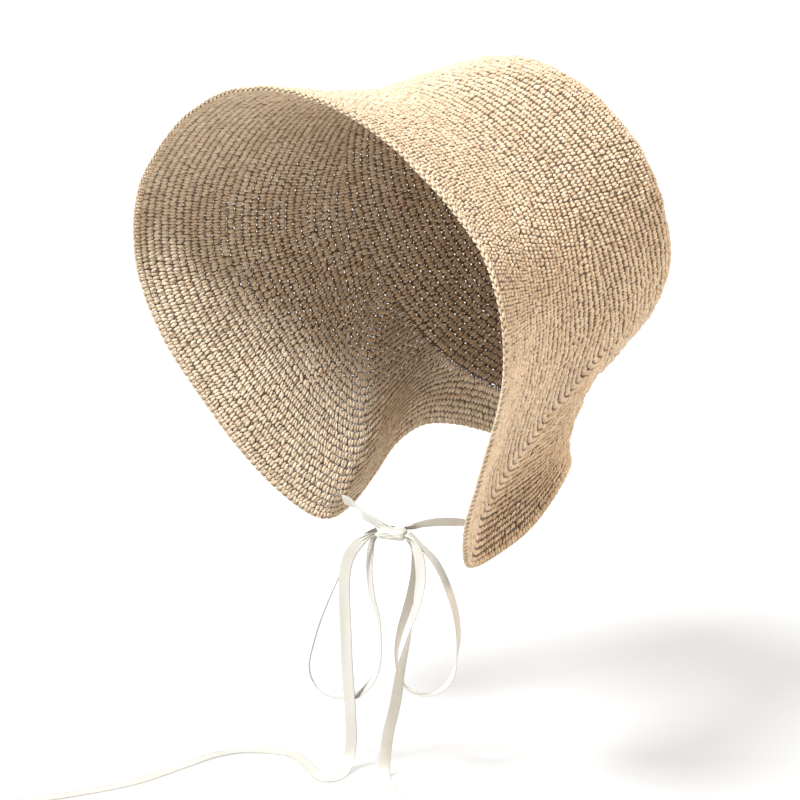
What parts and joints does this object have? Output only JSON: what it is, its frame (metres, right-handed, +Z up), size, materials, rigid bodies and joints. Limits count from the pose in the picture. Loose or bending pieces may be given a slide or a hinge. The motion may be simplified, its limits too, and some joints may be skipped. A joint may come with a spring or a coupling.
{
  "type": "sun hat",
  "caption": "Bonnet-shaped crocheted raffia sun hat with a deep crown, a flaring brim that dips beside the jaw, and a satin ribbon tied in a bow under the chin.",
  "frame": {"origin": "the middle of the opening for the head, where the hat sits on its wearer", "axes": "+Z up, -Y the way the wearer looks, +X towards the wearer's left"},
  "size_m": [0.303, 0.379, 0.4206],
  "materials": {
    "raffia": "crocheted natural raffia, matt with a slight straw sheen",
    "raffia_edge": "chain round of natural raffia",
    "satin": "narrow cream satin ribbon, soft sheen"
  },
  "bodies": {
    "root": {"crown": "raffia", "brim": "raffia", "brim_edge": "raffia_edge", "bow_knot": "satin", "tie_left": "satin", "tie_right": "satin", "bow_loop_left": "satin", "bow_loop_right": "satin", "tail_left": "satin", "tail_right": "satin"}
  },
  "joints": []
}
